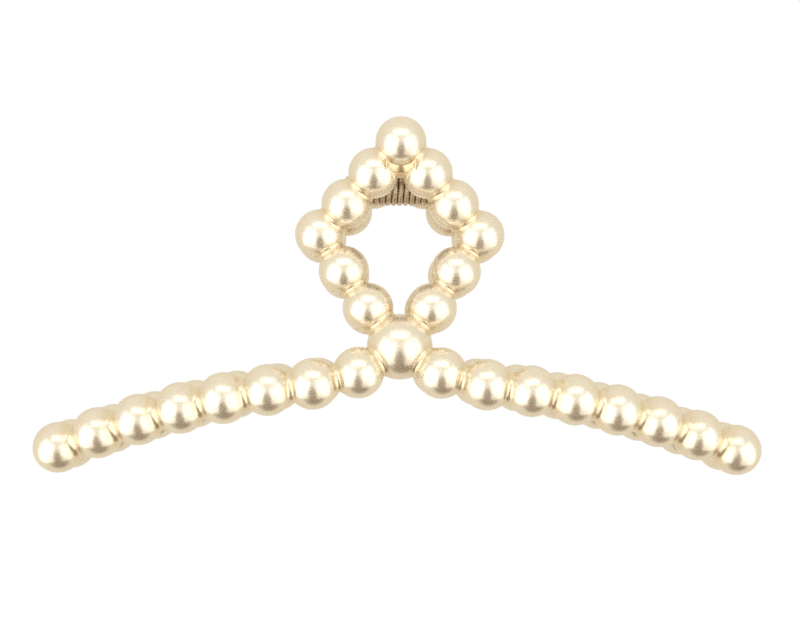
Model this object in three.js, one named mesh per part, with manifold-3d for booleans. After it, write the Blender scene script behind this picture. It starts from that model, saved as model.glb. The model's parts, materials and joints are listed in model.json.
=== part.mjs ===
// Claw clip: two matching jaws moulded as strings of fused beads, turning on one steel pin
// and pushed shut by a close-wound torsion spring. Millimetres, +Z up, arms along X, front at -Y.
// The origin is under the middle of the clip, level with the lowest beads of the arms.
import * as THREE from 'three';
import { mergeVertices } from 'three/addons/utils/BufferGeometryUtils.js';
import Module from 'manifold-3d';

const wasm = await Module();
wasm.setup();

// Beads
const BEAD_R = 3.88;
const CENTRE_BEAD_R = 5.0;
const BEAD_DETAIL = 2;
const CENTRE_BEAD_DETAIL = 3;

// Arms: the beads close up a little towards the tips, droop and curve back to the other jaw.
// The first bead is lifted against the centre bead.
const ARM_BEADS = 8;
const ARM_FIRST_X = 6.27;
const ARM_TIP_X = 52.3;
const ARM_LAST_PITCH_SHARE = 0.93;
const ARM_DROP_START = 4.71;
const ARM_DROP_SLOPE = 0.025;
const ARM_DROP_CURVE = 0.00354;
const ARM_FIRST_LIFT = 1.06;
const ARM_BULGE = 4.2;
const ARM_BULGE_SKEW = 0.8;

// Distances of bead centres in front of the middle plane between the jaws
const CENTRE_Y = 7.4;
const WAIST_Y = 4.2;
const TIP_Y = 4.4;

// Handle loop: a kite that leans in up to its widest beads, then out to the top bead
const KITE_FOOT_X = 4.88;
const KITE_FOOT_RISE = 5.93;
const KITE_WIDE_X = 12.38;
const KITE_WIDE_RISE = 17.38;
const KITE_TOP_RISE = 31.25;
const KITE_STEPS = 3;
const KITE_LOWER_BEADS = 2;
const UPPER_LEAN_DEG = 18;
const WEB_R = 1.5;
const WEB_DROP = 3.85;

// Hinge
const HINGE_RISE = 25.4;
const PIN_R = 1.0;
const PIN_HEAD_R = 1.6;
const PIN_HEAD_T = 0.55;
const BORE_R = 1.3;
const LUG_R = 2.3;
const LUG_ROOT_R = 1.9;
const LUG_T = 1.0;
const GAP = 0.3;
const PIN_SIDES = 16;
const LUG_ARC_STEPS = 6;

// Torsion spring
const WIRE_R = 0.43;
const COIL_R = 2.57;
const COIL_WHOLE_TURNS = 10;
const COIL_PITCH = 0.93;
const LEG_LENGTH = 5.5;
const LEG_LEAN_DEG = 10;
const WIRE_SIDES = 6;
const STEPS_PER_TURN = 12;

const centreZ = BEAD_R + drop(ARM_TIP_X);
const hingeZ = centreZ + HINGE_RISE;
const coilTurns = COIL_WHOLE_TURNS + (90 - LEG_LEAN_DEG) / 180;
const coilHalf = (coilTurns * COIL_PITCH) / 2;
const innerLugX = coilHalf + WIRE_R + GAP / 2;
const outerLugX = innerLugX + LUG_T + GAP;

function drop(x) {
  return ARM_DROP_START + ARM_DROP_SLOPE * x + ARM_DROP_CURVE * x * x;
}

function toSolid(geometry) {
  const bare = geometry.clone();
  bare.deleteAttribute('normal');
  bare.deleteAttribute('uv');
  const merged = mergeVertices(bare, 1e-4);
  const vertProperties = Float32Array.from(merged.attributes.position.array);
  const triVerts = Uint32Array.from(merged.index.array);
  return new wasm.Manifold(new wasm.Mesh({ numProp: 3, vertProperties, triVerts }));
}

function toGeometry(solid) {
  const made = solid.getMesh();
  const geometry = new THREE.BufferGeometry();
  geometry.setAttribute('position', new THREE.BufferAttribute(made.vertProperties, 3));
  geometry.setIndex(new THREE.BufferAttribute(made.triVerts, 1));
  geometry.computeVertexNormals();
  return geometry;
}

function join(geometries) {
  return geometries.map(toSolid).reduce((whole, next) => whole.add(next));
}

function bead(point, radius, detail) {
  const ball = new THREE.IcosahedronGeometry(radius, detail);
  return ball.translate(point.x, point.y, point.z);
}

// How far each bead of an arm is from the middle of the clip. The pitch shrinks evenly.
function armStations() {
  const pitches = ARM_BEADS - 1;
  const shares = Array.from({ length: pitches }, (_, i) => (
    THREE.MathUtils.lerp(1, ARM_LAST_PITCH_SHARE, i / (pitches - 1))
  ));
  const whole = shares.reduce((sum, share) => sum + share);
  const stations = [ARM_FIRST_X];
  for (const share of shares) {
    stations.push(stations.at(-1) + (share / whole) * (ARM_TIP_X - ARM_FIRST_X));
  }
  return stations;
}

// The arm's bead centres on one side; side is -1 or 1
function armPoints(side) {
  return armStations().map((x, i) => {
    const along = x / ARM_TIP_X;
    const bulge = ARM_BULGE * Math.sin(Math.PI * along ** ARM_BULGE_SKEW);
    const y = THREE.MathUtils.lerp(CENTRE_Y, TIP_Y, along) + bulge;
    const lift = i === 0 ? ARM_FIRST_LIFT : 0;
    return new THREE.Vector3(side * x, -y, centreZ - drop(x) + lift);
  });
}

// How far in front of the middle plane the handle is, at a height over the centre bead
function handleY(rise) {
  if (rise < KITE_WIDE_RISE) {
    return THREE.MathUtils.lerp(CENTRE_Y, WAIST_Y, rise / KITE_WIDE_RISE);
  }
  const lean = Math.tan(THREE.MathUtils.degToRad(UPPER_LEAN_DEG));
  return WAIST_Y + (rise - KITE_WIDE_RISE) * lean;
}

function handlePoint(x, rise) {
  return new THREE.Vector3(x, -handleY(rise), centreZ + rise);
}

// One side of the kite, from its foot at the centre bead up to just below the top bead
function kitePoints(side) {
  const points = [];
  for (let i = 0; i < KITE_LOWER_BEADS; i += 1) {
    const t = i / KITE_LOWER_BEADS;
    const x = THREE.MathUtils.lerp(KITE_FOOT_X, KITE_WIDE_X, t);
    points.push(handlePoint(side * x, THREE.MathUtils.lerp(KITE_FOOT_RISE, KITE_WIDE_RISE, t)));
  }
  for (let i = 0; i < KITE_STEPS; i += 1) {
    const t = i / KITE_STEPS;
    const x = THREE.MathUtils.lerp(KITE_WIDE_X, 0, t);
    points.push(handlePoint(side * x, THREE.MathUtils.lerp(KITE_WIDE_RISE, KITE_TOP_RISE, t)));
  }
  return points;
}

// A flat ear from the hinge to the bead beside it, starting at x and LUG_T thick
function lug(x) {
  const root = kitePoints(1)[KITE_LOWER_BEADS + 1];
  const reach = new THREE.Vector2(root.y, root.z - hingeZ);
  const away = reach.angle() + Math.PI;
  const outline = new THREE.Shape();
  for (let i = 0; i <= 2 * LUG_ARC_STEPS; i += 1) {
    const turn = away - Math.PI / 2 + (Math.PI * i) / (2 * LUG_ARC_STEPS);
    const point = new THREE.Vector2(LUG_R * Math.cos(turn), LUG_R * Math.sin(turn));
    if (i === 0) outline.moveTo(point.x, point.y);
    else outline.lineTo(point.x, point.y);
  }
  for (const sign of [1, -1]) {
    const turn = away + (sign * Math.PI) / 2;
    outline.lineTo(reach.x + LUG_ROOT_R * Math.cos(turn), reach.y + LUG_ROOT_R * Math.sin(turn));
  }
  const bore = new THREE.Path();
  bore.absarc(0, 0, BORE_R, 0, 2 * Math.PI, true);
  outline.holes.push(bore);
  const settings = { depth: LUG_T, bevelEnabled: false, curveSegments: PIN_SIDES / 2 };
  const plate = new THREE.ExtrudeGeometry(outline, settings);
  const turned = new THREE.Matrix4().makeBasis(
    new THREE.Vector3(0, 1, 0),
    new THREE.Vector3(0, 0, 1),
    new THREE.Vector3(1, 0, 0),
  );
  return plate.applyMatrix4(turned).translate(x, 0, hingeZ);
}

// The short bridge that closes the top of the kite under its top bead
function web() {
  const middle = handlePoint(0, KITE_TOP_RISE - WEB_DROP);
  const bridge = new THREE.CylinderGeometry(WEB_R, WEB_R, BEAD_R, PIN_SIDES / 2);
  return bridge.rotateZ(Math.PI / 2).translate(middle.x, middle.y, middle.z);
}

// One jaw with its handle. The other is the same moulding turned half round the Z axis,
// so that its ears pass between this one's on the pin.
function jaw() {
  const beads = [handlePoint(0, KITE_TOP_RISE)];
  for (const side of [-1, 1]) {
    beads.push(...kitePoints(side), ...armPoints(side));
  }
  return toGeometry(join([
    bead(handlePoint(0, 0), CENTRE_BEAD_R, CENTRE_BEAD_DETAIL),
    ...beads.map((point) => bead(point, BEAD_R, BEAD_DETAIL)),
    web(),
    lug(-outerLugX - LUG_T),
    lug(innerLugX),
  ]));
}

// Straight leg, close-wound coil, straight leg; the same seen from either end. The part
// turn over the whole ones lets both legs leave at the same lean, one towards each jaw.
class TorsionSpringPath extends THREE.Curve {
  getPoint(t, target = new THREE.Vector3()) {
    const coilLength = 2 * Math.PI * COIL_R * coilTurns;
    const fromMiddle = (t - 0.5) * (coilLength + 2 * LEG_LENGTH);
    const side = Math.sign(fromMiddle) || 1;
    const onCoil = Math.min(Math.abs(fromMiddle), coilLength / 2);
    const onLeg = Math.abs(fromMiddle) - onCoil;
    const leave = THREE.MathUtils.degToRad(LEG_LEAN_DEG);
    const turn = leave + (coilLength / 2 - onCoil) / COIL_R;
    const y = COIL_R * Math.cos(turn) + onLeg * Math.sin(leave);
    const rise = -COIL_R * Math.sin(turn) + onLeg * Math.cos(leave);
    const x = (coilHalf * onCoil) / (coilLength / 2);
    return target.set(-side * x, side * y, hingeZ + rise);
  }
}

function torsionSpring() {
  const section = new THREE.Shape();
  section.absarc(0, 0, WIRE_R, 0, 2 * Math.PI, false);
  return new THREE.ExtrudeGeometry(section, {
    steps: (COIL_WHOLE_TURNS + 1) * STEPS_PER_TURN,
    curveSegments: WIRE_SIDES / 2,
    extrudePath: new TorsionSpringPath(),
  });
}

function hingePin() {
  const shaft = outerLugX + LUG_T + GAP;
  const end = shaft + PIN_HEAD_T;
  const profile = [
    new THREE.Vector2(0, -end),
    new THREE.Vector2(PIN_HEAD_R, -end),
    new THREE.Vector2(PIN_HEAD_R, -shaft),
    new THREE.Vector2(PIN_R, -shaft),
    new THREE.Vector2(PIN_R, shaft),
    new THREE.Vector2(PIN_HEAD_R, shaft),
    new THREE.Vector2(PIN_HEAD_R, end),
    new THREE.Vector2(0, end),
  ];
  return new THREE.LatheGeometry(profile, PIN_SIDES).rotateZ(-Math.PI / 2).translate(0, 0, hingeZ);
}

const pearlLacquer = { color: 0xe9dab4, roughness: 0.25, metalness: 0.1 };
const springSteel = { color: 0x8c7d66, roughness: 0.35, metalness: 0.9 };
const pinSteel = { color: 0xb9b3a6, roughness: 0.3, metalness: 0.95 };

function piece(name, geometry, finish) {
  const mesh = new THREE.Mesh(geometry, new THREE.MeshStandardMaterial(finish));
  mesh.name = name;
  return mesh;
}

const group = new THREE.Group();
const frontHalf = piece('front_half', jaw(), pearlLacquer);
const rearHalf = piece('rear_half', jaw(), pearlLacquer);
rearHalf.rotation.z = Math.PI;
group.add(frontHalf, rearHalf);
group.add(piece('torsion_spring', torsionSpring(), springSteel));
group.add(piece('hinge_pin', hingePin(), pinSteel));

export default group;
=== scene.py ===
"""Looks for a sprung claw clip: two jaws of fused pearl beads, a torsion spring and a hinge pin.

Everything is in metres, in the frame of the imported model: X along the arms, +Z up towards the
handle, and the front jaw at -Y. The rear jaw is the front jaw's moulding turned half round.
"""

import json
import logging
import math
from collections.abc import Iterator, Sequence
from dataclasses import dataclass, field
from enum import Enum

import bmesh
import bpy
from mathutils import Matrix, Vector

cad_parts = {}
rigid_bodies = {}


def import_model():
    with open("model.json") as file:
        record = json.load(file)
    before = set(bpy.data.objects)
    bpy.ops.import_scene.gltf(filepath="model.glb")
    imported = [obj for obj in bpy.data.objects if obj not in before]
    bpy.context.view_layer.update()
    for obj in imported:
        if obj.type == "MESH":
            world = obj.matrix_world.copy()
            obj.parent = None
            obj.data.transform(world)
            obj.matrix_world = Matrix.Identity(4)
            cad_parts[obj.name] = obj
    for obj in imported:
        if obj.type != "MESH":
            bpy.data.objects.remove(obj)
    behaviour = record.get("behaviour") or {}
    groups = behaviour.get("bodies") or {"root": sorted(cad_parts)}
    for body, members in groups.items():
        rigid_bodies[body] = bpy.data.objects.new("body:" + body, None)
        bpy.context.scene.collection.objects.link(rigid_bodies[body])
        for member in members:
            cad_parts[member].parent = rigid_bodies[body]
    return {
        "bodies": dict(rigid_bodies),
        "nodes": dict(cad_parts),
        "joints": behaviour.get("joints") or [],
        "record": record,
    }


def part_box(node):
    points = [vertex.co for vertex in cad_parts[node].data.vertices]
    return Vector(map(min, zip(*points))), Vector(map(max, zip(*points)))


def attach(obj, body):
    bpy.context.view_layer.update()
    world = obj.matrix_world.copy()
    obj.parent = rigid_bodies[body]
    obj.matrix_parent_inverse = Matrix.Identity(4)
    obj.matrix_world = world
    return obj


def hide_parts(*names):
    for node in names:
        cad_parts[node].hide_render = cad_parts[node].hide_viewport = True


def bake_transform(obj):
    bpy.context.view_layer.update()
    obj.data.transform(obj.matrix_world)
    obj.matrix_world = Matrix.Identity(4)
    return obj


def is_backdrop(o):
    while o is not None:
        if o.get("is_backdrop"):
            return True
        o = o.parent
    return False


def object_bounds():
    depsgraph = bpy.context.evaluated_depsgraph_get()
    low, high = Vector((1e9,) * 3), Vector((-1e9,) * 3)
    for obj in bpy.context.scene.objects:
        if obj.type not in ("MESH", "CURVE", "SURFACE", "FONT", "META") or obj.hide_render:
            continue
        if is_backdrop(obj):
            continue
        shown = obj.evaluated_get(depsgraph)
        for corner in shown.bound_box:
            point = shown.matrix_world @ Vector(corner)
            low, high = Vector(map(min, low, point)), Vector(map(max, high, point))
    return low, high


logging.basicConfig(level=logging.INFO, format="%(message)s")
log = logging.getLogger("claw_clip")

MM = 0.001
ACROSS = Vector((0, 1, 0))
ALONG_PIN = Vector((1, 0, 0))
# The mesh value for how deep in a groove a point is; it places the painted groove shade in the
# pearl lacquer.
GROOVE = "groove"
WHITE = (1, 1, 1, 1)
# The parts of a cloud pattern's range that hold much of it and most of it.
CORE = (0.35, 0.65)
SPAN = (0.3, 0.7)


class Side(Enum):
    """The clip's left and right, as the sign of X on the front jaw."""

    LEFT = -1
    RIGHT = 1


class Jaw(Enum):
    """The two jaws, as the turn about the Z axis that puts the one moulding in place."""

    FRONT = 0.0
    REAR = math.pi

    @property
    def body(self) -> str:
        """The CAD body that this jaw rides on."""
        return "front_jaw" if self is Jaw.FRONT else "rear_jaw"

    @property
    def node(self) -> str:
        """The CAD node that this jaw's beads stand for."""
        return "front_half" if self is Jaw.FRONT else "rear_half"

    @property
    def word(self) -> str:
        """The jaw's word in the names of its pieces."""
        return self.name.lower()


# ---------------------------------------------------------------------------------------
# Finishes
# ---------------------------------------------------------------------------------------


class NodeTree:
    """A short way to add nodes to a material and wire them up."""

    def __init__(self, name: str) -> None:
        """Starts a material with one Principled shader.

        Args:
            name: The material's name.
        """
        self.material = bpy.data.materials.new(name)
        self.material.use_nodes = True
        self.nodes = self.material.node_tree.nodes
        self.links = self.material.node_tree.links
        self.shader = self.nodes["Principled BSDF"]

    def add(self, kind: str, inputs: dict | None = None, **settings: object) -> bpy.types.Node:
        """Adds a node.

        Args:
            kind: The node's type name.
            inputs: Values or sockets for its inputs, by name or number.
            settings: Properties set on the node.

        Returns:
            The new node.
        """
        node = self.nodes.new(kind)
        for name, value in settings.items():
            setattr(node, name, value)
        for key, value in (inputs or {}).items():
            self.feed(node.inputs[key], value)
        return node

    def feed(self, socket: bpy.types.NodeSocket, value: object) -> None:
        """Links a socket, or sets the value of an input.

        Args:
            socket: The input.
            value: An output socket, or the value to set.
        """
        if isinstance(value, bpy.types.NodeSocket):
            self.links.new(value, socket)
        else:
            socket.default_value = value

    def set(self, **inputs: object) -> None:
        """Feeds the shader's inputs.

        Args:
            inputs: Values or sockets by input name, with underscores for spaces.
        """
        for name, value in inputs.items():
            self.feed(self.shader.inputs[name.replace("_", " ")], value)

    def object_point(self) -> bpy.types.NodeSocket:
        """The point on the piece, in its own coordinates."""
        return self.add("ShaderNodeTexCoord").outputs["Object"]

    def noise(
        self, size: float, detail: float = 2.0, stretch: Sequence[float] = (1, 1, 1)
    ) -> bpy.types.NodeSocket:
        """Adds a cloud pattern.

        Args:
            size: The size of one patch, in metres.
            detail: How many finer layers it holds.
            stretch: How much finer the pattern is along each axis.

        Returns:
            The pattern's value, about 0.5 on average.
        """
        mapping = self.add(
            "ShaderNodeMapping",
            {"Vector": self.object_point(), "Scale": tuple(s / size for s in stretch)},
        )
        made = self.add(
            "ShaderNodeTexNoise",
            {"Vector": mapping.outputs["Vector"], "Scale": 1.0, "Detail": detail},
        )
        return made.outputs["Fac"]

    def spread(
        self, value: bpy.types.NodeSocket, source: Sequence[float], result: Sequence[float] = (0, 1)
    ) -> bpy.types.NodeSocket:
        """Maps a range to another, held at its ends.

        Args:
            value: The value to map.
            source: The start and end of the range it comes from.
            result: The results at that start and end.

        Returns:
            The mapped value.
        """
        limits = {"Value": value, "From Min": source[0], "From Max": source[1]}
        limits |= {"To Min": result[0], "To Max": result[1]}
        return self.add("ShaderNodeMapRange", limits).outputs["Result"]

    def mix(self, share: object, a: object, b: object, blend: str = "MIX") -> bpy.types.NodeSocket:
        """Mixes two colours.

        Args:
            share: How much of the second colour.
            a: The first colour.
            b: The second colour.
            blend: The blend mode.

        Returns:
            The mixed colour.
        """
        node = self.add("ShaderNodeMix", data_type="RGBA", blend_type=blend)
        self.feed(node.inputs[0], share)
        self.feed(node.inputs[6], a)
        self.feed(node.inputs[7], b)
        return node.outputs[2]

    def bump(self, height: bpy.types.NodeSocket, strength: float, distance: float) -> None:
        """Presses a pattern into the surface.

        Args:
            height: The pattern.
            strength: How much of it shows.
            distance: Its depth, in metres.
        """
        amount = {"Height": height, "Strength": strength, "Distance": distance}
        made = self.add("ShaderNodeBump", amount)
        self.set(Normal=made.outputs["Normal"])


@dataclass(frozen=True)
class PearlLacquer:
    """Cream pearl lacquer over plastic with a fine mica grain, and a golden painted shade and
    painted reflection in the grooves and on the bridge.
    """

    cream: tuple = (0.90, 0.83, 0.70, 1)
    # The colour of the painted shade and painted reflection in the grooves and on the bridge.
    shade_gold: tuple = (0.80, 0.64, 0.38, 1)
    rose: tuple = (0.92, 0.80, 0.70, 1)
    pistachio: tuple = (0.86, 0.85, 0.68, 1)
    tint_size: float = 1.3 * MM
    tint_share: float = 0.35
    rosy_from: tuple = (0.52, 0.72)
    green_from: tuple = (0.48, 0.3)
    grain_size: float = 0.2 * MM
    grain_detail: float = 3.0
    mica_shades: tuple = (0.92, 1.06)
    # The groove value at which the painted shade is fully golden.
    full_shade: float = 2.0
    metallic: float = 0.78
    roughness: tuple = (0.21, 0.31)
    coat: float = 0.35
    coat_roughness: float = 0.12
    ripple_size: float = 0.9 * MM
    soft_detail: float = 1.0
    relief: float = 0.012 * MM
    relief_strength: float = 0.06

    def build(self) -> bpy.types.Material:
        """Makes the material."""
        tree = NodeTree("pearl_lacquer")
        tint = tree.noise(self.tint_size, self.soft_detail)
        rosy = tree.spread(tint, self.rosy_from, (0, self.tint_share))
        green = tree.spread(tint, self.green_from, (0, self.tint_share))
        colour = tree.mix(rosy, self.cream, self.rose)
        colour = tree.mix(green, colour, self.pistachio)
        grain = tree.noise(self.grain_size, self.grain_detail)
        mica = tree.spread(grain, CORE, self.mica_shades)
        shade = tree.add("ShaderNodeCombineColor", {"Red": mica, "Green": mica, "Blue": mica})
        colour = tree.mix(1.0, colour, shade.outputs["Color"], "MULTIPLY")
        # Painted shade and painted reflection: the groove value mixes in the darker golden colour,
        # deepest in the grooves.
        painted_shade = tree.add("ShaderNodeAttribute", attribute_name=GROOVE).outputs["Fac"]
        colour = tree.mix(tree.spread(painted_shade, (0, self.full_shade)), colour, self.shade_gold)
        tree.set(
            Base_Color=colour,
            Metallic=self.metallic,
            Roughness=tree.spread(grain, SPAN, self.roughness),
            Coat_Weight=self.coat,
            Coat_Roughness=self.coat_roughness,
        )
        ripple = tree.noise(self.ripple_size, self.soft_detail)
        both = tree.add("ShaderNodeMath", {0: grain, 1: ripple}, operation="ADD")
        tree.bump(both.outputs["Value"], self.relief_strength, self.relief)
        return tree.material


@dataclass(frozen=True)
class SpringSteel:
    """Drawn spring wire: a warm brownish steel with fine lengthwise streaks."""

    bright: tuple = (0.88, 0.78, 0.66, 1)
    dull: tuple = (0.42, 0.32, 0.21, 1)
    streak_size: float = 0.3 * MM
    streak_detail: float = 4.0
    streak_stretch: tuple = (2.5, 1, 1)
    metallic: float = 0.9
    roughness: tuple = (0.38, 0.24)
    relief: float = 0.01 * MM
    relief_strength: float = 0.3

    def build(self) -> bpy.types.Material:
        """Makes the material."""
        tree = NodeTree("spring_steel")
        streak = tree.noise(self.streak_size, self.streak_detail, self.streak_stretch)
        tree.set(
            Base_Color=tree.mix(tree.spread(streak, CORE), self.dull, self.bright),
            Metallic=self.metallic,
            Roughness=tree.spread(streak, SPAN, self.roughness),
        )
        tree.bump(streak, self.relief_strength, self.relief)
        return tree.material


@dataclass(frozen=True)
class PinSteel:
    """Plain turned steel with fine rings from the lathe."""

    base: tuple = (0.62, 0.59, 0.55, 1)
    dull: tuple = (0.45, 0.42, 0.38, 1)
    ring_size: float = 0.12 * MM
    ring_stretch: tuple = (1, 0.05, 0.05)
    metallic: float = 1.0
    roughness: tuple = (0.3, 0.42)
    relief: float = 0.005 * MM
    relief_strength: float = 0.2

    def build(self) -> bpy.types.Material:
        """Makes the material."""
        tree = NodeTree("pin_steel")
        rings = tree.noise(self.ring_size, stretch=self.ring_stretch)
        tree.set(
            Base_Color=tree.mix(tree.spread(rings, CORE), self.dull, self.base),
            Metallic=self.metallic,
            Roughness=tree.spread(rings, SPAN, self.roughness),
        )
        tree.bump(rings, self.relief_strength, self.relief)
        return tree.material


# ---------------------------------------------------------------------------------------
# Shapes
# ---------------------------------------------------------------------------------------


@dataclass(frozen=True)
class Ring:
    """A loft's round section: its middle, the way it faces, its radius and its groove value."""

    centre: Vector
    facing: Vector
    radius: float
    groove: float = 0.0

    def frame(self, reference: Vector) -> Matrix:
        """The matrix that takes a unit circle to this ring.

        Args:
            reference: The direction that the ring's first point leans to.

        Returns:
            A 4x4 matrix with the ring's radius in its first two columns.
        """
        facing = self.facing.normalized()
        first = (reference - reference.dot(facing) * facing).normalized()
        second = facing.cross(first)
        axes = Matrix((first * self.radius, second * self.radius, facing)).transposed()
        return Matrix.Translation(self.centre) @ axes.to_4x4()


class Loft:
    """A closed skin drawn through a row of rings."""

    def __init__(self, bm: bmesh.types.BMesh, segments: int, reference: Vector) -> None:
        """Readies a loft in a mesh.

        Args:
            bm: The mesh to build in.
            segments: Points round each ring.
            reference: The direction that each ring's first point leans to.
        """
        self.bm = bm
        self.segments = segments
        self.reference = reference
        self.groove = bm.verts.layers.float.get(GROOVE) or bm.verts.layers.float.new(GROOVE)

    def draw(self, rings: Iterator[Ring] | Sequence[Ring]) -> None:
        """Skins the rings and closes both ends.

        Args:
            rings: The sections, in order.
        """
        rings = list(rings)
        frame = rings[0].frame(self.reference)
        made = bmesh.ops.create_circle(
            self.bm, cap_ends=True, cap_tris=True, segments=self.segments, radius=1.0, matrix=frame
        )
        self.mark(made["verts"], rings[0].groove)
        edges = [e for e in {e for v in made["verts"] for e in v.link_edges} if e.is_boundary]
        for ring in rings[1:]:
            grown = bmesh.ops.extrude_edge_only(self.bm, edges=edges)["geom"]
            verts = [g for g in grown if isinstance(g, bmesh.types.BMVert)]
            edges = [g for g in grown if isinstance(g, bmesh.types.BMEdge) and g.is_boundary]
            nearer = ring.frame(self.reference)
            bmesh.ops.transform(self.bm, matrix=nearer @ frame.inverted(), verts=verts)
            self.mark(verts, ring.groove)
            frame = nearer
        lid = bmesh.ops.contextual_create(self.bm, geom=edges)["faces"]
        bmesh.ops.poke(self.bm, faces=lid)

    def mark(self, verts: Sequence[bmesh.types.BMVert], groove: float) -> None:
        """Writes how deep in a groove some points are.

        Args:
            verts: The points.
            groove: 0 on a bead's open face, 1 at the bottom of a groove.
        """
        for vert in verts:
            vert[self.groove] = groove


@dataclass(frozen=True)
class Bead:
    """One moulded bead."""

    centre: Vector
    radius: float


@dataclass(frozen=True)
class Groove:
    """The lacquered fillet between two beads that run into each other."""

    first: Bead
    second: Bead
    fillet: float
    # How much painted groove shade this groove's rings carry.
    painted_shade: float = 1.0

    @property
    def way(self) -> Vector:
        """The direction from the first bead to the second."""
        return (self.second.centre - self.first.centre).normalized()

    @property
    def span(self) -> float:
        """The distance between the two bead centres."""
        return (self.second.centre - self.first.centre).length

    @property
    def reach(self) -> float:
        """How far along the line of centres the fillet's own centre lies."""
        near = self.first.radius + self.fillet
        far = self.second.radius + self.fillet
        return (self.span**2 + near**2 - far**2) / (2 * self.span)

    @property
    def height(self) -> float:
        """How far off the line of centres the fillet's own centre lies."""
        return math.sqrt((self.first.radius + self.fillet) ** 2 - self.reach**2)

    @property
    def leaves_first(self) -> float:
        """How far from the first bead's centre its round face ends."""
        return self.first.radius * self.reach / (self.first.radius + self.fillet)

    @property
    def meets_second(self) -> float:
        """How far short of the second bead's centre its round face begins."""
        away = self.span - self.reach
        return self.second.radius * away / (self.second.radius + self.fillet)

    def rings(self, steps: int) -> Iterator[Ring]:
        """The fillet's sections, from the first bead to the second.

        Args:
            steps: How many steps to take across it.

        Yields:
            Rings, without the two that the beads already have.
        """
        start = math.atan2(-self.height, -self.reach)
        end = math.atan2(-self.height, self.span - self.reach)
        for step in range(1, steps):
            angle = start + (end - start) * step / steps
            along = self.reach + self.fillet * math.cos(angle)
            radius = self.height + self.fillet * math.sin(angle)
            yield Ring(self.first.centre + self.way * along, self.way, radius, self.painted_shade)


@dataclass(frozen=True)
class BeadString:
    """A row of beads run into each other, whose fillets widen from the first to the last."""

    beads: list[Bead]
    first_fillet: float
    last_fillet: float
    bead_steps: int = 26
    fillet_steps: int = 8
    segments: int = 64
    # How far the painted groove shade fades out onto a bead's face.
    shade_width: float = 0.5 * MM
    pole_turn: float = math.radians(3)
    bury: float = 1.2 * MM
    buried_share: float = 0.9
    # The painted groove shade where a string sinks into the large bead.
    buried_shade: float = 0.6

    def rings(self) -> Iterator[Ring]:
        """The string's sections. The first and last beads are only met, not drawn, if larger.

        Yields:
            Rings from one end to the other.
        """
        pairs = list(zip(self.beads, self.beads[1:], strict=False))
        widen = (self.last_fillet - self.first_fillet) / (len(pairs) - 1)
        grooves = [Groove(a, b, self.first_fillet + widen * n) for n, (a, b) in enumerate(pairs)]
        plain = self.beads[1].radius
        opens_buried = self.beads[0].radius > plain
        ends_buried = self.beads[-1].radius > plain
        for number, bead in enumerate(self.beads):
            before = grooves[number - 1] if number else None
            after = grooves[number] if number < len(grooves) else None
            if before is None and opens_buried:
                yield from self.buried(after.first, after.leaves_first, after.way, 1)
            elif after is None and ends_buried:
                yield from self.buried(before.second, before.meets_second, before.way, -1)
            else:
                yield from self.bead_rings(bead, before, after)
            if after is not None:
                yield from after.rings(self.fillet_steps)

    def buried(self, bead: Bead, offset: float, way: Vector, side: int) -> Iterator[Ring]:
        """The string's end where it sinks into the large bead.

        Args:
            bead: The large bead.
            offset: How far from its centre the fillet touches it.
            way: The string's direction there.
            side: 1 where the string leaves the bead, -1 where it enters it.

        Yields:
            A ring inside the bead and one on its face, in the string's order.
        """
        radius = math.sqrt(bead.radius**2 - offset**2)
        under = offset - self.bury
        shrunk = radius * self.buried_share
        face = Ring(bead.centre + way * side * offset, way, radius, self.buried_shade)
        inside = Ring(bead.centre + way * side * under, way, shrunk, self.buried_shade)
        yield from (inside, face) if side > 0 else (face, inside)

    def bead_rings(self, bead: Bead, before: Groove | None, after: Groove | None) -> Iterator[Ring]:
        """One bead's sections, turning evenly from the groove before it to the one after.

        Args:
            bead: The bead.
            before: The groove that it starts at, or None at a free end.
            after: The groove that it ends at, or None at a free end.

        Yields:
            Rings on the bead's face.
        """
        pole = bead.radius * math.cos(self.pole_turn)
        low = -before.meets_second if before else -pole
        high = after.leaves_first if after else pole
        way_in = (before or after).way
        way_out = (after or before).way
        turn_in, turn_out = math.asin(low / bead.radius), math.asin(high / bead.radius)
        for step in range(self.bead_steps + 1):
            turn = turn_in + (turn_out - turn_in) * step / self.bead_steps
            share = (bead.radius * math.sin(turn) - low) / (high - low)
            facing = way_in.lerp(way_out, share)
            offset = (low * (1 - share) + high * share) / facing.length
            facing = facing.normalized()
            radius = math.sqrt(max(bead.radius**2 - offset**2, 0.0))
            near = min(
                (turn - turn_in) if before else math.inf,
                (turn_out - turn) if after else math.inf,
            )
            # Painted groove shade, fading away from the grooves on either side of the bead.
            painted_shade = math.exp(-near * bead.radius / self.shade_width)
            yield Ring(bead.centre + facing * offset, facing, radius, painted_shade)


def dress(obj: bpy.types.Object, material: bpy.types.Material) -> bpy.types.Object:
    """Gives a piece its finish.

    Args:
        obj: The piece.
        material: Its material.

    Returns:
        The same piece.
    """
    obj.data.materials.clear()
    obj.data.materials.append(material)
    return obj


def finish_mesh(name: str, bm: bmesh.types.BMesh, turn: float = 0.0) -> bpy.types.Object:
    """Makes a smooth object of a mesh, with its faces pointing out.

    Args:
        name: The piece's name.
        bm: The mesh, which is used up.
        turn: A turn about the Z axis, in radians.

    Returns:
        The new object, at the origin.
    """
    bmesh.ops.rotate(bm, cent=(0, 0, 0), matrix=Matrix.Rotation(turn, 3, "Z"), verts=bm.verts)
    bmesh.ops.recalc_face_normals(bm, faces=bm.faces)
    for face in bm.faces:
        face.smooth = True
    mesh = bpy.data.meshes.new(name)
    bm.to_mesh(mesh)
    bm.free()
    obj = bpy.data.objects.new(name, mesh)
    bpy.context.scene.collection.objects.link(obj)
    return obj


# ---------------------------------------------------------------------------------------
# Sub-assemblies
# ---------------------------------------------------------------------------------------


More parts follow.
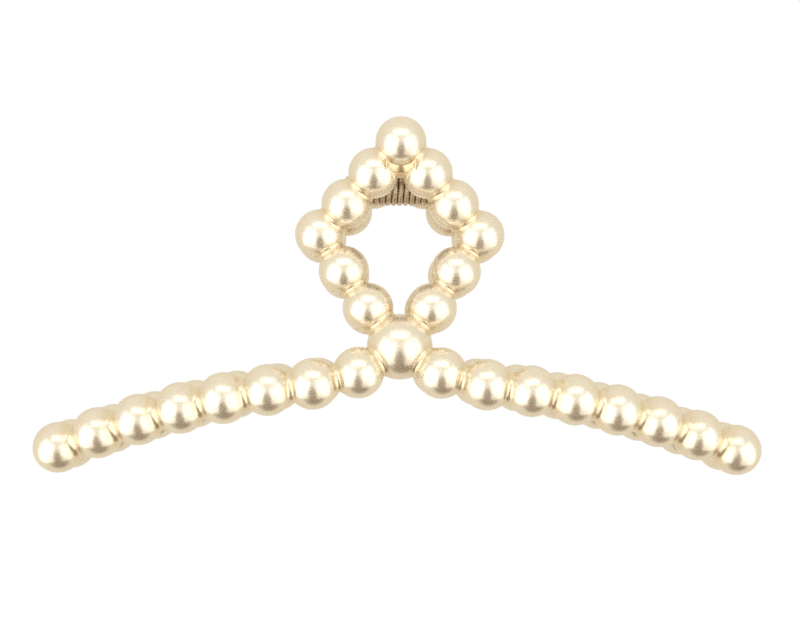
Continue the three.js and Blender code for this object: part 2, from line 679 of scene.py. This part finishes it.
@dataclass
class Hinge:
    """Where the two jaws turn, and the room along the pin for the coil and the four ears."""

    centre: Vector
    spring_box: tuple[Vector, Vector]
    pin_box: tuple[Vector, Vector]
    wire_radius: float = 0.43 * MM
    gap: float = 0.3 * MM
    ear_thickness: float = 1.0 * MM
    ear_radius: float = 2.3 * MM
    bore_radius: float = 1.3 * MM
    pin_radius: float = 1.0 * MM

    @property
    def coil_half(self) -> float:
        """Half the coil's length, between the middles of its end wires."""
        low, high = self.spring_box
        return (high.x - low.x) / 2 - self.wire_radius

    @property
    def inner_ear(self) -> float:
        """How far from the middle the inner ear's inner face is."""
        return self.coil_half + self.wire_radius + self.gap / 2

    @property
    def outer_ear(self) -> float:
        """How far from the middle the outer ear's inner face is."""
        return self.inner_ear + self.ear_thickness + self.gap


@dataclass
class HalfMoulding:
    """One jaw: two arms, a centre bead, a kite-shaped handle loop and two hinge ears."""

    hinge: Hinge
    box: tuple[Vector, Vector]
    finish: bpy.types.Material
    bead_radius: float = 3.88 * MM
    centre_radius: float = 5.0 * MM
    root_fillet: float = 0.55 * MM
    tip_fillet: float = 1.3 * MM
    arm_beads: int = 8
    first_x: float = 6.27 * MM
    last_pitch_share: float = 0.93
    drop_start: float = 4.71
    drop_slope: float = 0.025
    drop_curve: float = 0.00354
    first_lift: float = 1.06 * MM
    bulge: float = 4.2 * MM
    bulge_skew: float = 0.8
    centre_y: float = 7.4 * MM
    waist_y: float = 4.2 * MM
    tip_y: float = 4.4 * MM
    foot_x: float = 4.88 * MM
    foot_rise: float = 5.93 * MM
    wide_x: float = 12.38 * MM
    wide_rise: float = 17.38 * MM
    hinge_rise: float = 25.4 * MM
    upper_lean: float = math.radians(18)
    web_drop: float = 3.3 * MM
    web_radius: float = 2.1 * MM
    web_flare: float = 2.8 * MM
    web_reach: float = 2.3 * MM
    web_steps: int = 12
    web_segments: int = 48
    # The bridge's painted shade, a deep golden shade and reflection under the top bead.
    web_shade: float = 1.8
    centre_detail: int = 6
    ear_bead: int = 3
    ear_soft: float = 0.18 * MM
    ear_steps: int = 48
    tongue_width: float = 3.4 * MM
    tongue_share: float = 0.86
    tongue_soft: float = 0.2 * MM
    tongue_steps: int = 3
    centre_z: float = field(init=False)
    tip_x: float = field(init=False)
    top_rise: float = field(init=False)

    def __post_init__(self) -> None:
        """Works the end beads' places out from the hinge and the moulding's box."""
        _, high = self.box
        self.centre_z = self.hinge.centre.z - self.hinge_rise
        self.tip_x = high.x - self.bead_radius
        self.top_rise = high.z - self.bead_radius - self.centre_z

    def drop(self, x: float) -> float:
        """How far an arm's bead hangs under the centre bead.

        Args:
            x: Its distance from the middle.

        Returns:
            The drop.
        """
        along = x / MM
        return (self.drop_start + self.drop_slope * along + self.drop_curve * along**2) * MM

    def handle_point(self, x: float, rise: float) -> Vector:
        """A point on the handle's leaning surface of bead centres.

        Args:
            x: Its X.
            rise: Its height over the centre bead.

        Returns:
            The point, on the front jaw.
        """
        if rise < self.wide_rise:
            y = self.centre_y + (self.waist_y - self.centre_y) * rise / self.wide_rise
        else:
            y = self.waist_y + (rise - self.wide_rise) * math.tan(self.upper_lean)
        return Vector((x, -y, self.centre_z + rise))

    def bead(self, centre: Vector) -> Bead:
        """A bead of the common size.

        Args:
            centre: Its centre.

        Returns:
            The bead.
        """
        return Bead(centre, self.bead_radius)

    def centre_bead(self) -> Bead:
        """The large bead in the middle."""
        return Bead(self.handle_point(0, 0), self.centre_radius)

    def arm(self, side: Side) -> list[Bead]:
        """One arm's beads, from the centre outwards.

        Args:
            side: Left or right.

        Returns:
            The beads.
        """
        pitches = self.arm_beads - 1
        fall = 1 - self.last_pitch_share
        shares = [1 - fall * i / (pitches - 1) for i in range(pitches)]
        stations = [self.first_x]
        for share in shares:
            stations.append(stations[-1] + share / sum(shares) * (self.tip_x - self.first_x))
        beads = []
        for number, x in enumerate(stations):
            along = x / self.tip_x
            swell = self.bulge * math.sin(math.pi * along**self.bulge_skew)
            y = self.centre_y + (self.tip_y - self.centre_y) * along + swell
            lift = 0.0 if number else self.first_lift
            z = self.centre_z - self.drop(x) + lift
            beads.append(self.bead(Vector((side.value * x, -y, z))))
        return beads

    def kite_side(self, side: Side) -> list[Bead]:
        """One side of the handle loop, from its foot to just below the top bead.

        Args:
            side: Left or right.

        Returns:
            The beads.
        """
        foot = self.handle_point(side.value * self.foot_x, self.foot_rise)
        wide = self.handle_point(side.value * self.wide_x, self.wide_rise)
        top = self.handle_point(0, self.top_rise)
        points = [foot, foot.lerp(wide, 1 / 2), wide, wide.lerp(top, 1 / 3), wide.lerp(top, 2 / 3)]
        return [self.bead(p) for p in points]

    def build(self, jaw: Jaw) -> list[bpy.types.Object]:
        """Builds one jaw's pieces.

        Args:
            jaw: Which jaw.

        Returns:
            Its pieces.
        """
        centre = self.centre_bead()
        strings = {
            f"{jaw.word}_left_arm": [centre, *self.arm(Side.LEFT)],
            f"{jaw.word}_right_arm": [centre, *self.arm(Side.RIGHT)],
            f"{jaw.word}_handle_loop": [
                centre,
                *self.kite_side(Side.LEFT),
                self.bead(self.handle_point(0, self.top_rise)),
                *reversed(self.kite_side(Side.RIGHT)),
                centre,
            ],
        }
        pieces = []
        for name, beads in strings.items():
            bm = bmesh.new()
            last_fillet = self.tip_fillet if name.endswith("arm") else self.root_fillet
            string = BeadString(beads, self.root_fillet, last_fillet)
            Loft(bm, BeadString.segments, ACROSS).draw(string.rings())
            pieces.append(finish_mesh(name, bm, jaw.value))
        pieces.append(self.build_centre(jaw))
        pieces.append(self.build_bridge(jaw))
        pieces.append(self.build_ears(jaw))
        for piece in pieces:
            dress(piece, self.finish)
            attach(piece, jaw.body)
        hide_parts(jaw.node)
        return pieces

    def build_centre(self, jaw: Jaw) -> bpy.types.Object:
        """Builds the large middle bead.

        Args:
            jaw: Which jaw.

        Returns:
            The piece.
        """
        bead = self.centre_bead()
        bm = bmesh.new()
        groove = bm.verts.layers.float.new(GROOVE)
        place = Matrix.Translation(bead.centre)
        bmesh.ops.create_icosphere(
            bm, subdivisions=self.centre_detail, radius=bead.radius, matrix=place
        )
        neighbours = [self.arm(s)[0] for s in Side] + [self.kite_side(s)[0] for s in Side]
        joints = [Groove(bead, other, self.root_fillet) for other in neighbours]
        # Painted groove shade on the centre bead, fading away from each joint.
        for vert in bm.verts:
            way = (vert.co - bead.centre).normalized()
            for joint in joints:
                edge = math.acos(joint.leaves_first / bead.radius)
                past = max(way.angle(joint.way) - edge, 0.0) * bead.radius
                vert[groove] = max(vert[groove], math.exp(-past / BeadString.shade_width))
        return finish_mesh(f"{jaw.word}_centre_bead", bm, jaw.value)

    def build_bridge(self, jaw: Jaw) -> bpy.types.Object:
        """Builds the lacquered bridge under the top bead.

        Args:
            jaw: Which jaw.

        Returns:
            The piece.
        """
        middle = self.handle_point(0, self.top_rise - self.web_drop)
        rings = []
        for step in range(-self.web_steps, self.web_steps + 1):
            along = step / self.web_steps * self.web_reach
            radius = self.web_radius + self.web_flare - math.sqrt(self.web_flare**2 - along**2)
            # Every ring of the bridge carries the deep golden painted shade.
            rings.append(Ring(middle + ALONG_PIN * along, ALONG_PIN, radius, self.web_shade))
        bm = bmesh.new()
        Loft(bm, self.web_segments, ACROSS).draw(rings)
        return finish_mesh(f"{jaw.word}_bridge", bm, jaw.value)

    def build_ears(self, jaw: Jaw) -> bpy.types.Object:
        """Builds the two ears that hold the pin.

        Args:
            jaw: Which jaw.

        Returns:
            The piece, both ears as separate shells.
        """
        hinge = self.hinge
        root = self.kite_side(Side.RIGHT)[self.ear_bead].centre
        bm = bmesh.new()
        bm.verts.layers.float.new(GROOVE)
        starts = (-hinge.outer_ear - hinge.ear_thickness, hinge.inner_ear)
        for start in starts:
            self.add_ear(bm, start, root)
        return finish_mesh(f"{jaw.word}_hinge_ears", bm, jaw.value)

    def add_ear(self, bm: bmesh.types.BMesh, start: float, root: Vector) -> None:
        """Adds one ear: a drilled eye round the pin and a tongue into the bead beside it.

        Args:
            bm: The mesh to add to.
            start: The X of its left face.
            root: The centre of the bead that it grows from.
        """
        hinge = self.hinge
        thick = hinge.ear_thickness
        soft = self.ear_soft
        profile = [
            (0.0, hinge.bore_radius),
            (0.0, hinge.ear_radius - soft),
            (soft, hinge.ear_radius),
            (thick - soft, hinge.ear_radius),
            (thick, hinge.ear_radius - soft),
            (thick, hinge.bore_radius),
        ]
        verts = [bm.verts.new(hinge.centre + Vector((start + x, r, 0))) for x, r in profile]
        edges = [bm.edges.new(pair) for pair in zip(verts, [*verts[1:], verts[0]], strict=True)]
        bmesh.ops.spin(
            bm,
            geom=verts + edges,
            cent=hinge.centre,
            axis=ALONG_PIN,
            dvec=(0, 0, 0),
            angle=math.tau,
            steps=self.ear_steps,
            use_merge=True,
            use_duplicate=False,
        )
        reach = root - hinge.centre
        reach.x = 0
        inner = (hinge.bore_radius + hinge.ear_radius) / 2
        length = reach.length - inner
        middle = hinge.centre + reach.normalized() * (inner + length / 2)
        middle.x = start + thick / 2
        turn = math.atan2(reach.z, reach.y)
        place = Matrix.Translation(middle) @ Matrix.Rotation(turn, 4, "X")
        size = Matrix.Diagonal((thick * self.tongue_share, length, self.tongue_width, 1))
        tongue = bmesh.ops.create_cube(bm, size=1.0, matrix=place @ size)["verts"]
        bmesh.ops.bevel(
            bm,
            geom=list({e for v in tongue for e in v.link_edges}),
            offset=self.tongue_soft,
            segments=self.tongue_steps,
            profile=0.5,
            affect="EDGES",
            material=-1,
        )


@dataclass
class TorsionSpring:
    """Straight leg, close-wound coil, straight leg, wound on the hinge axis."""

    hinge: Hinge
    finish: bpy.types.Material
    coil_radius: float = 2.57 * MM
    whole_turns: int = 10
    leg_length: float = 5.5 * MM
    leg_lean: float = math.radians(10)
    steps_per_turn: int = 40
    leg_steps: int = 6
    wire_segments: int = 14
    wire_radius: float = 0.45 * MM
    end_soft_share: float = 0.35
    nudge: float = 0.02 * MM

    @property
    def turns(self) -> float:
        """All its turns; the part turn lets both legs leave at the same lean."""
        return self.whole_turns + 0.5 - self.leg_lean / math.pi

    def point(self, along: float) -> Vector:
        """A point on the wire's centreline.

        Args:
            along: Distance along the wire from the spring's middle.

        Returns:
            The point.
        """
        half = math.pi * self.coil_radius * self.turns
        side = -1 if along < 0 else 1
        on_coil = min(abs(along), half)
        on_leg = abs(along) - on_coil
        turn = self.leg_lean + (half - on_coil) / self.coil_radius
        y = self.coil_radius * math.cos(turn) + on_leg * math.sin(self.leg_lean)
        rise = -self.coil_radius * math.sin(turn) + on_leg * math.cos(self.leg_lean)
        x = self.hinge.coil_half * on_coil / half
        return self.hinge.centre + Vector((-side * x, side * y, rise))

    def build(self) -> bpy.types.Object:
        """Builds the spring, on the hinge axis between the two jaws.

        Returns:
            The piece.
        """
        half = math.pi * self.coil_radius * self.turns
        coil_steps = round(self.turns * self.steps_per_turn / 2) * 2
        leg = [self.leg_length * (i + 1) / self.leg_steps for i in range(self.leg_steps)]
        stations = [-half - past for past in reversed(leg)]
        stations += [half * (2 * i / coil_steps - 1) for i in range(coil_steps + 1)]
        stations += [half + past for past in leg]
        rings = []
        for along in stations:
            way = (self.point(along + self.nudge) - self.point(along - self.nudge)).normalized()
            rings.append(Ring(self.point(along), way, self.wire_radius))
        soft = self.wire_radius * self.end_soft_share
        first, last = rings[0], rings[-1]
        rings.insert(0, Ring(first.centre - first.facing * soft, first.facing, first.radius - soft))
        rings.append(Ring(last.centre + last.facing * soft, last.facing, last.radius - soft))
        bm = bmesh.new()
        Loft(bm, self.wire_segments, ALONG_PIN).draw(rings)
        piece = finish_mesh("torsion_spring_wire", bm)
        dress(piece, self.finish)
        reach = ALONG_PIN * self.hinge.coil_half
        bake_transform(piece)
        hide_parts("torsion_spring")
        return piece


@dataclass
class HingePin:
    """A steel pin with a pressed, rounded head at each end."""

    hinge: Hinge
    finish: bpy.types.Material
    head_thickness: float = 0.55 * MM
    face_share: float = 0.55
    rim_share: float = 0.93
    soft: float = 0.22 * MM
    segments: int = 48

    def build(self) -> bpy.types.Object:
        """Builds the pin.

        Returns:
            The piece.
        """
        low, high = self.hinge.pin_box
        head, end = (high.z - low.z) / 2, high.x
        shoulder = end - self.head_thickness
        one_end = [
            (end, head * self.face_share),
            (end - self.soft / 4, head - self.soft),
            (end - self.soft, head),
            (shoulder + self.soft / 4, head),
            (shoulder, head * self.rim_share),
            (shoulder, self.hinge.pin_radius),
        ]
        outline = [(-x, r) for x, r in one_end] + list(reversed(one_end))
        rings = [Ring(self.hinge.centre + ALONG_PIN * x, ALONG_PIN, r) for x, r in outline]
        bm = bmesh.new()
        Loft(bm, self.segments, ACROSS).draw(rings)
        piece = finish_mesh("hinge_pin_steel", bm)
        dress(piece, self.finish)
        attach(piece, "front_jaw")
        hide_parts("hinge_pin")
        return piece


# ---------------------------------------------------------------------------------------
# Studio
# ---------------------------------------------------------------------------------------


class RoomTree:
    """A short way to shade the room by direction."""

    def __init__(self, tree: bpy.types.NodeTree) -> None:
        """Readies the tree.

        Args:
            tree: The world's node tree.
        """
        self.nodes, self.links = tree.nodes, tree.links
        self.direction = tree.nodes.new("ShaderNodeTexCoord").outputs["Generated"]

    def math(self, operation: str, *values: object) -> bpy.types.NodeSocket:
        """Adds a sum on plain numbers.

        Args:
            operation: The sum's name.
            values: Sockets or numbers.

        Returns:
            Its result.
        """
        node = self.nodes.new("ShaderNodeMath")
        node.operation = operation
        for socket, value in zip(node.inputs, values, strict=False):
            if isinstance(value, bpy.types.NodeSocket):
                self.links.new(value, socket)
            else:
                socket.default_value = value
        return node.outputs["Value"]

    def toward(self, x: float, y: float, z: float) -> bpy.types.NodeSocket:
        """How closely a ray goes one way, from -1 to 1.

        Args:
            x: The way's X.
            y: The way's Y.
            z: The way's Z.

        Returns:
            The cosine between the two.
        """
        node = self.nodes.new("ShaderNodeVectorMath")
        node.operation = "DOT_PRODUCT"
        self.links.new(self.direction, node.inputs[0])
        node.inputs[1].default_value = Vector((x, y, z)).normalized()
        return node.outputs["Value"]

    def side(self, scale: float) -> bpy.types.NodeSocket:
        """How far a ray goes to either side, times a scale."""
        return self.times(self.math("ABSOLUTE", self.toward(1, 0, 0)), scale)

    def sub(self, a: object, b: object) -> bpy.types.NodeSocket:
        """The first value less the second."""
        return self.math("SUBTRACT", a, b)

    def times(self, a: object, b: object) -> bpy.types.NodeSocket:
        """The product of two values."""
        return self.math("MULTIPLY", a, b)

    def larger(self, a: object, b: object) -> bpy.types.NodeSocket:
        """The larger of two values."""
        return self.math("MAXIMUM", a, b)

    def rise(self, value: bpy.types.NodeSocket, low: float, high: float) -> bpy.types.NodeSocket:
        """A smooth step from 0 to 1.

        Args:
            value: The value it follows.
            low: Where it leaves 0.
            high: Where it reaches 1.

        Returns:
            The step.
        """
        node = self.nodes.new("ShaderNodeMapRange")
        node.interpolation_type = "SMOOTHSTEP"
        self.links.new(value, node.inputs["Value"])
        node.inputs["From Min"].default_value = low
        node.inputs["From Max"].default_value = high
        return node.outputs["Result"]

    def blend(self, share: bpy.types.NodeSocket, a: object, b: object) -> bpy.types.NodeSocket:
        """Mixes two colours.

        Args:
            share: How much of the second.
            a: The first colour.
            b: The second colour.

        Returns:
            The mix.
        """
        node = self.nodes.new("ShaderNodeMix")
        node.data_type = "RGBA"
        self.links.new(share, node.inputs[0])
        for socket, value in ((node.inputs[6], a), (node.inputs[7], b)):
            if isinstance(value, bpy.types.NodeSocket):
                self.links.new(value, socket)
            else:
                socket.default_value = value
        return node.outputs[2]

    def camera_ray(self) -> bpy.types.NodeSocket:
        """1 for what the camera sees directly."""
        return self.nodes.new("ShaderNodeLightPath").outputs["Is Camera Ray"]

    def finish(self, colour: bpy.types.NodeSocket) -> None:
        """Lights the room with a colour."""
        self.links.new(colour, self.nodes["Background"].inputs["Color"])


@dataclass
class Studio:
    """Camera, lights, backdrop colour and floor."""

    centre: Vector
    camera_distance: float = 210 * MM
    camera_x: float = -3.77 * MM
    camera_z: float = 18.26 * MM
    pitch: float = math.radians(2.0)
    yaw: float = math.radians(1.07)
    roll: float = math.radians(0.3)
    sensor_mm: float = 36.0
    lens_mm: float = 59.805
    clip_start: float = 10 * MM
    floor_drop: float = 900 * MM
    floor_half: float = 3.0
    floor_colour: tuple = (0.62, 0.56, 0.46, 1)
    floor_roughness: float = 0.9
    panel_colour: tuple = (1.0, 0.97, 0.9)
    panel_size: tuple = (0.5, 0.72)
    panel_out: float = 0.305
    panel_back: float = 0.25
    panel_low: float = 0.13
    panel_roll: float = math.radians(25)
    left_power: float = 1.25
    right_power: float = 1.02
    top_way: tuple = (0.0, -0.2, 0.17)
    top_size: tuple = (0.3, 0.12)
    top_power: float = 0.12
    room_back: tuple = (0.80, 0.72, 0.57, 1)
    room_front: tuple = (0.82, 0.79, 0.73, 1)
    room_top: tuple = (0.86, 0.80, 0.68, 1)
    room_dark: tuple = (0.17, 0.10, 0.04, 1)
    front_edge: tuple = (-0.25, 0.45)
    top_edge: tuple = (0.45, 0.95)
    under_way: tuple = (0.15, -0.3, -1)
    under_edge: tuple = (0.74, 0.93)
    wedge_slope: float = 1.1
    wedge_edge: tuple = (0.0, 0.35)
    wedge_front_edge: tuple = (-0.1, 0.2)

    def build(self) -> None:
        """Builds the studio."""
        self.add_camera()
        self.add_lights()
        self.add_world()
        self.add_floor()

    def add_camera(self) -> None:
        """Adds the camera, looking a little up at the clip's front."""
        data = bpy.data.cameras.new("camera")
        data.sensor_width = self.sensor_mm
        data.lens = self.lens_mm
        data.clip_start = self.clip_start
        camera = bpy.data.objects.new("camera", data)
        camera.location = (self.camera_x, -self.camera_distance, self.camera_z)
        level = Matrix.Rotation(math.pi / 2, 4, "X")
        tilt = Matrix.Rotation(self.pitch, 4, "X")
        pan = Matrix.Rotation(-self.yaw, 4, "Z")
        turn = Matrix.Rotation(self.roll, 4, "Z")
        camera.rotation_euler = (pan @ level @ tilt @ turn).to_euler()
        bpy.context.scene.collection.objects.link(camera)
        bpy.context.scene.camera = camera

    def add_panel(
        self, name: str, way: Vector, size: Sequence[float], power: float, roll: float = 0.0
    ) -> None:
        """Adds one soft light panel that faces the clip.

        Args:
            name: The light's name.
            way: The direction from the clip to the light.
            size: Its width and height, in metres.
            power: Its power, in watts.
            roll: Its turn about the line to the clip.
        """
        data = bpy.data.lights.new(name, "AREA")
        data.shape = "RECTANGLE"
        data.size, data.size_y = size
        data.energy = power
        data.color = self.panel_colour
        lamp = bpy.data.objects.new(name, data)
        lamp.location = self.centre + way
        aim = way.to_track_quat("Z", "Y").to_matrix().to_4x4()
        lamp.rotation_euler = (aim @ Matrix.Rotation(roll, 4, "Z")).to_euler()
        lamp.visible_camera = False
        bpy.context.scene.collection.objects.link(lamp)

    def add_lights(self) -> None:
        """Adds a tall panel low on either side of the camera, and a small one above it."""
        left = Vector((-self.panel_out, -self.panel_back, -self.panel_low))
        right = Vector((self.panel_out, -self.panel_back, -self.panel_low))
        self.add_panel("left_panel", left, self.panel_size, self.left_power, -self.panel_roll)
        self.add_panel("right_panel", right, self.panel_size, self.right_power, self.panel_roll)
        self.add_panel("top_panel", Vector(self.top_way), self.top_size, self.top_power)

    def add_world(self) -> None:
        """Adds a white backdrop, and the dimmer room that lights and shows in the beads."""
        world = bpy.data.worlds.new("studio")
        world.use_nodes = True
        tree = RoomTree(world.node_tree)
        front = tree.rise(tree.toward(0, -1, 0), *self.front_edge)
        above = tree.rise(tree.toward(0, 0, 1), *self.top_edge)
        under = tree.rise(tree.toward(*self.under_way), *self.under_edge)
        steep = tree.sub(tree.toward(0, 0, -1), tree.side(self.wedge_slope))
        ahead = tree.rise(tree.toward(0, -1, 0), *self.wedge_front_edge)
        wedge = tree.times(tree.rise(steep, *self.wedge_edge), ahead)
        room = tree.blend(front, self.room_back, self.room_front)
        room = tree.blend(above, room, self.room_top)
        room = tree.blend(tree.larger(under, wedge), room, self.room_dark)
        tree.finish(tree.blend(tree.camera_ray(), room, WHITE))
        bpy.context.scene.world = world

    def add_floor(self) -> None:
        """Adds a pale floor well below the clip."""
        bm = bmesh.new()
        bmesh.ops.create_grid(bm, x_segments=1, y_segments=1, size=self.floor_half)
        bmesh.ops.translate(bm, vec=(0, 0, -self.floor_drop), verts=bm.verts)
        floor = finish_mesh("studio_floor", bm)
        tree = NodeTree("floor_white")
        path = tree.add("ShaderNodeLightPath")
        glow = tree.add("ShaderNodeEmission", {"Color": WHITE, "Strength": 1.0})
        both = tree.add("ShaderNodeMixShader", {0: path.outputs["Is Camera Ray"]})
        tree.set(Base_Color=self.floor_colour, Roughness=self.floor_roughness)
        tree.links.new(tree.shader.outputs[0], both.inputs[1])
        tree.links.new(glow.outputs[0], both.inputs[2])
        tree.links.new(both.outputs[0], tree.nodes["Material Output"].inputs["Surface"])
        floor.data.materials.append(tree.material)
        floor.visible_glossy = floor.visible_diffuse = floor.visible_shadow = False
        floor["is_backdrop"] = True


def main() -> None:
    """Builds the clip's pieces and the studio round them."""
    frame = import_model()
    cad_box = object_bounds()
    turning_point = Vector(frame["joints"][0]["pos_m"])
    hinge = Hinge(turning_point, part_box("torsion_spring"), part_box("hinge_pin"))
    half = HalfMoulding(hinge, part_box("front_half"), PearlLacquer().build())
    pieces: list[bpy.types.Object] = []
    for jaw in Jaw:
        pieces += half.build(jaw)
    pieces.append(TorsionSpring(hinge, SpringSteel().build()).build())
    pieces.append(HingePin(hinge, PinSteel().build()).build())
    for piece in pieces:
        log.info("%s: %d faces", piece.name, len(piece.data.polygons))
    low, high = cad_box
    Studio((low + high) / 2).build()
    bpy.context.scene.view_settings.view_transform = "Standard"


if __name__ == "__main__":
    main()
